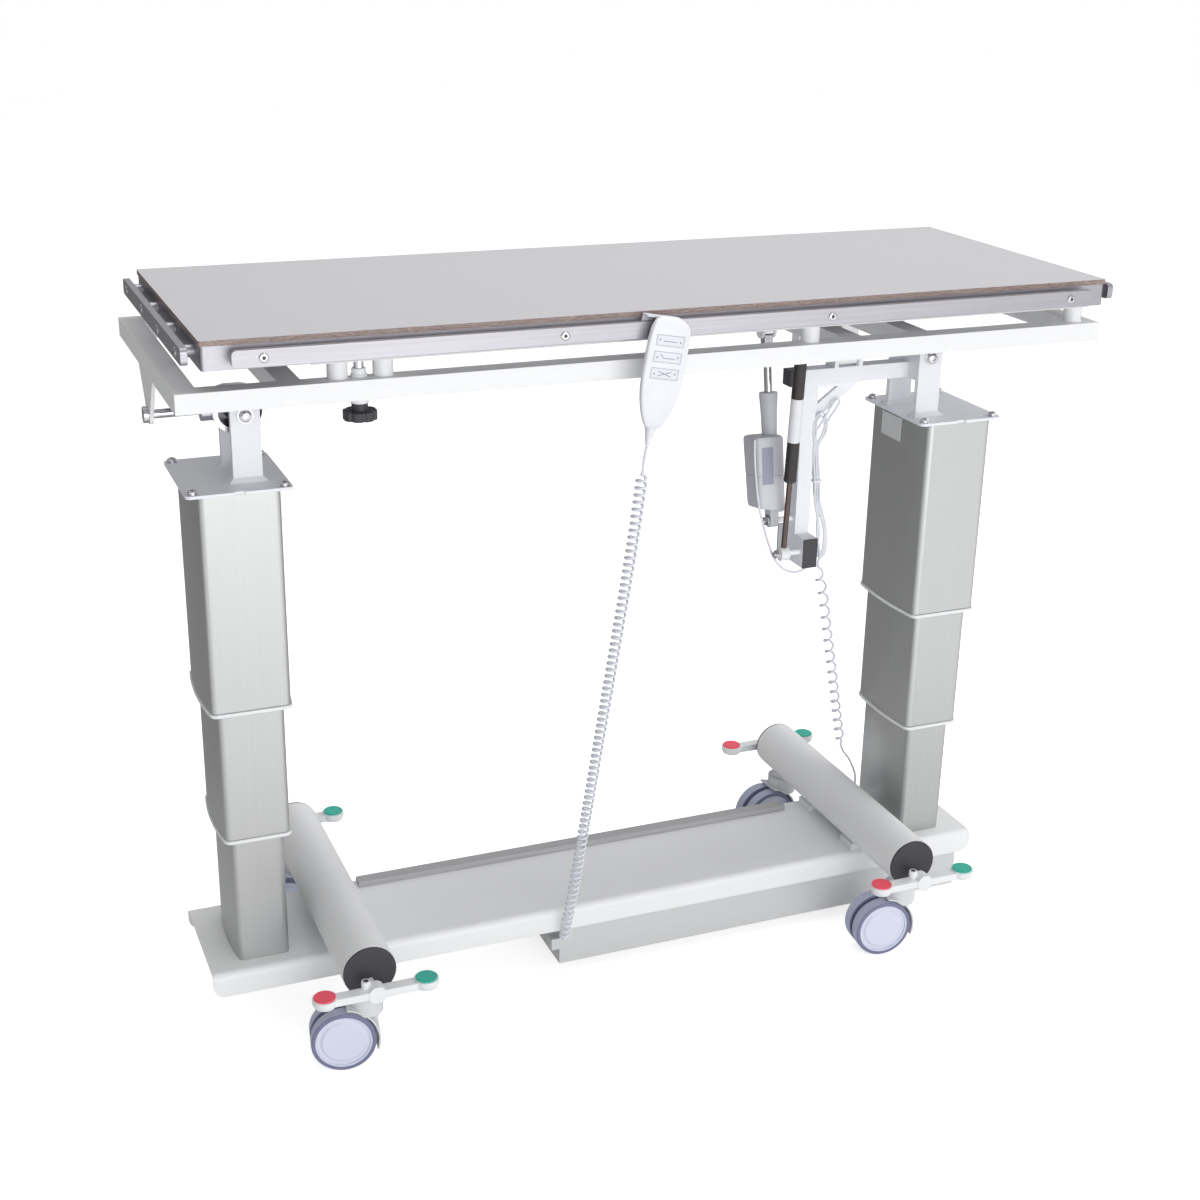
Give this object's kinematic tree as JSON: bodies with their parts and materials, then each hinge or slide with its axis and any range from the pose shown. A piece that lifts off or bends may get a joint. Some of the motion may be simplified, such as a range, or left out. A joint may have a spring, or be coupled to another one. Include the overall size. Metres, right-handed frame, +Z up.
{
  "type": "operating table",
  "caption": "Mobile table on two telescopic columns: flat rectangular top with rails on a tilting frame, hand control with coiled lead, and four castors with brake pedals.",
  "frame": {"origin": "floor level, middle of the whole table", "axes": "+X along the table towards the column with the tilt drive, +Y away from the hand control's side, +Z up"},
  "size_m": [1.57, 0.6512, 1.24],
  "materials": {
    "white_paint": "satin powder coat",
    "column_grey": "satin anodised look",
    "brushed": "brushed",
    "laminate": "matt laminate",
    "white_plastic": "matt",
    "dark_plastic": "matt",
    "bolt_steel": "bright",
    "housing_grey": "matt",
    "gas_grey": "satin",
    "castor_grey": "matt",
    "wheel_disc": "matt",
    "tread": "matt",
    "red_pad": "satin",
    "green_pad": "satin",
    "hand_white": "satin",
    "key_grey": "matt",
    "cord_white": "satin",
    "cable_strip": "satin"
  },
  "bodies": {
    "base": {"base_chassis": "white_paint", "cross_tubes": "white_paint", "tube_end_caps": "dark_plastic", "castor_stems": "bolt_steel", "control_box": "brushed", "cable_duct": "cable_strip", "left_stage_3": "column_grey", "right_stage_3": "column_grey", "hand_coil": "cord_white", "lift_coil": "cord_white"},
    "left_mid_stage": {"left_stage_2": "column_grey", "left_rim_2": "white_plastic"},
    "right_mid_stage": {"right_stage_2": "column_grey", "right_rim_2": "white_plastic"},
    "right_outer_stage": {"right_stage_1": "column_grey", "right_rim_1": "white_plastic", "right_head": "white_paint", "right_pivot_bolt": "bolt_steel"},
    "left_outer_stage": {"left_stage_1": "column_grey", "left_rim_1": "white_plastic", "left_head": "white_paint", "left_pivot_bolt": "bolt_steel"},
    "tilt_arm": {"right_tilt_arm": "white_paint", "arm_end_caps": "dark_plastic", "motor_lead": "cord_white", "cable_hank": "cord_white"},
    "actuator_body": {"actuator_housing": "housing_grey"},
    "actuator_piston": {"actuator_rod": "bolt_steel"},
    "gas_rod": {"gas_spring_rod": "bolt_steel"},
    "gas_cylinder": {"gas_spring_cylinder": "gas_grey"},
    "frame": {"under_frame": "white_paint"},
    "clamp_knob": {"clamp_knob": "dark_plastic"},
    "table_top": {"top_board": "laminate", "top_tray": "brushed", "accessory_rails": "brushed", "hand_control": "hand_white", "hand_lead": "cord_white"},
    "height_button": {"height_key": "key_grey"},
    "length_tilt_button": {"length_tilt_key": "key_grey"},
    "side_tilt_button": {"side_tilt_key": "key_grey"},
    "left_link": {"left_slot_link": "brushed"},
    "slide_block": {"slide_block": "dark_plastic"},
    "castor_1": {"castor_housing_1": "castor_grey"},
    "wheels_1": {"wheel_hubs_1": "wheel_disc", "tyres_1": "tread"},
    "castor_2": {"castor_housing_2": "castor_grey"},
    "wheels_2": {"wheel_hubs_2": "wheel_disc", "tyres_2": "tread"},
    "castor_3": {"castor_housing_3": "castor_grey"},
    "wheels_3": {"wheel_hubs_3": "wheel_disc", "tyres_3": "tread"},
    "castor_4": {"castor_housing_4": "castor_grey"},
    "wheels_4": {"wheel_hubs_4": "wheel_disc", "tyres_4": "tread"},
    "left_brake": {"left_brake_pedals": "white_plastic", "left_stop_pads": "red_pad", "left_release_pads": "green_pad"},
    "right_brake": {"right_brake_pedals": "white_plastic", "right_stop_pads": "red_pad", "right_release_pads": "green_pad"}
  },
  "joints": [
    {"name": "lift", "type": "slide", "parent": "base", "child": "right_mid_stage", "axis": [0, 0, 1], "range_m": [-0.225, 0], "deforming": ["hand_coil", "lift_coil"]},
    {"name": "right_outer_slide", "type": "slide", "parent": "right_mid_stage", "child": "right_outer_stage", "axis": [0, 0, 1], "range_m": [-0.225, 0]},
    {"name": "left_mid_slide", "type": "slide", "parent": "base", "child": "left_mid_stage", "axis": [0, 0, 1], "range_m": [-0.225, 0]},
    {"name": "length_tilt", "type": "hinge", "parent": "right_outer_stage", "child": "tilt_arm", "pos_m": [0.576, 0, 1.07], "axis": [0, -1, 0], "range_deg": [0, 8]},
    {"name": "side_tilt", "type": "hinge", "parent": "tilt_arm", "child": "frame", "pos_m": [0.431, 0, 1.07], "axis": [1, 0, 0], "range_deg": [-10, 10]},
    {"name": "left_link_turn", "type": "hinge", "parent": "frame", "child": "left_link", "pos_m": [-0.64, 0, 1.07], "axis": [1, 0, 0], "range_deg": [-10.5, 10.5]},
    {"name": "slide_block_slide", "type": "slide", "parent": "left_link", "child": "slide_block", "axis": [-1, 0, 0], "range_m": [0, 0.01]},
    {"name": "left_bolt_turn", "type": "hinge", "parent": "slide_block", "child": "left_outer_stage", "pos_m": [-0.64, 0, 1.07], "axis": [0, -1, 0], "range_deg": [-8.5, 0]},
    {"name": "actuator_turn", "type": "hinge", "parent": "tilt_arm", "child": "actuator_body", "pos_m": [0.304, 0, 0.781], "axis": [1, 0, 0], "range_deg": [-1.7, 1.7]},
    {"name": "actuator_stroke", "type": "slide", "parent": "actuator_body", "child": "actuator_piston", "axis": [0, 0.1716, 0.9852], "range_m": [-0.0095, 0.0095]},
    {"name": "gas_spring_turn", "type": "hinge", "parent": "tilt_arm", "child": "gas_rod", "pos_m": [0.311, -0.036, 0.729], "axis": [1, 0, 0], "range_deg": [-1.4, 1.4]},
    {"name": "gas_spring_stroke", "type": "slide", "parent": "gas_rod", "child": "gas_cylinder", "axis": [0, -0.0674, 0.9977], "range_m": [-0.011, 0.011]},
    {"name": "top_slide", "type": "slide", "parent": "frame", "child": "table_top", "axis": [1, 0, 0], "range_m": [-0.08, 0.08]},
    {"name": "clamp_turn", "type": "hinge", "parent": "frame", "child": "clamp_knob", "pos_m": [-0.509, -0.24, 1.1185], "axis": [0, 0, 1], "continuous": true},
    {"name": "height_press", "type": "hinge", "parent": "table_top", "child": "height_button", "pos_m": [-0.0559, -0.3251, 1.20352], "axis": [0.1736, 0, 0.9848], "range_deg": [-1.3, 1.3], "stiffness_Nm_per_rad": 0.02},
    {"name": "length_tilt_press", "type": "hinge", "parent": "table_top", "child": "length_tilt_button", "pos_m": [-0.06024, -0.3251, 1.1789], "axis": [0.1736, 0, 0.9848], "range_deg": [-1.3, 1.3], "stiffness_Nm_per_rad": 0.02},
    {"name": "side_tilt_press", "type": "hinge", "parent": "table_top", "child": "side_tilt_button", "pos_m": [-0.06459, -0.3251, 1.15428], "axis": [0.1736, 0, 0.9848], "range_deg": [-1.3, 1.3], "stiffness_Nm_per_rad": 0.02},
    {"name": "castor_1_swivel", "type": "hinge", "parent": "base", "child": "castor_1", "pos_m": [-0.5295, -0.236, 0.125], "axis": [0, 0, 1], "continuous": true},
    {"name": "castor_1_roll", "type": "hinge", "parent": "castor_1", "child": "wheels_1", "pos_m": [-0.56889, -0.22905, 0.054], "axis": [0.1736, 0.9848, 0], "continuous": true},
    {"name": "castor_2_swivel", "type": "hinge", "parent": "base", "child": "castor_2", "pos_m": [0.4855, -0.236, 0.125], "axis": [0, 0, 1], "continuous": true},
    {"name": "castor_2_roll", "type": "hinge", "parent": "castor_2", "child": "wheels_2", "pos_m": [0.44565, -0.23251, 0.054], "axis": [0.0872, 0.9962, 0], "continuous": true},
    {"name": "castor_3_swivel", "type": "hinge", "parent": "base", "child": "castor_3", "pos_m": [-0.5295, 0.236, 0.125], "axis": [0, 0, 1], "continuous": true},
    {"name": "castor_3_roll", "type": "hinge", "parent": "castor_3", "child": "wheels_3", "pos_m": [-0.5694, 0.23321, 0.054], "axis": [-0.0698, 0.9976, 0], "continuous": true},
    {"name": "castor_4_swivel", "type": "hinge", "parent": "base", "child": "castor_4", "pos_m": [0.4855, 0.236, 0.125], "axis": [0, 0, 1], "continuous": true},
    {"name": "castor_4_roll", "type": "hinge", "parent": "castor_4", "child": "wheels_4", "pos_m": [0.44572, 0.23182, 0.054], "axis": [-0.1045, 0.9945, 0], "continuous": true},
    {"name": "left_brake_turn", "type": "hinge", "parent": "base", "child": "left_brake", "pos_m": [-0.5295, 0, 0.17195], "axis": [0, 1, 0], "range_deg": [-15, 15]},
    {"name": "right_brake_turn", "type": "hinge", "parent": "base", "child": "right_brake", "pos_m": [0.4855, 0, 0.17195], "axis": [0, 1, 0], "range_deg": [-15, 15]}
  ],
  "couplings": [
    {"joint": "right_outer_slide", "follows": "lift", "ratio": 1},
    {"joint": "left_mid_slide", "follows": "lift", "ratio": 1},
    {"joint": "left_link_turn", "follows": "side_tilt", "ratio": -1},
    {"joint": "slide_block_slide", "follows": "length_tilt", "m_per_rad": 0.0703},
    {"joint": "left_bolt_turn", "follows": "length_tilt", "ratio": -1},
    {"joint": "actuator_turn", "follows": "side_tilt", "ratio": 0.157},
    {"joint": "actuator_stroke", "follows": "side_tilt", "m_per_rad": 0.04944},
    {"joint": "gas_spring_turn", "follows": "side_tilt", "ratio": 0.1239},
    {"joint": "gas_spring_stroke", "follows": "side_tilt", "m_per_rad": -0.05869}
  ]
}
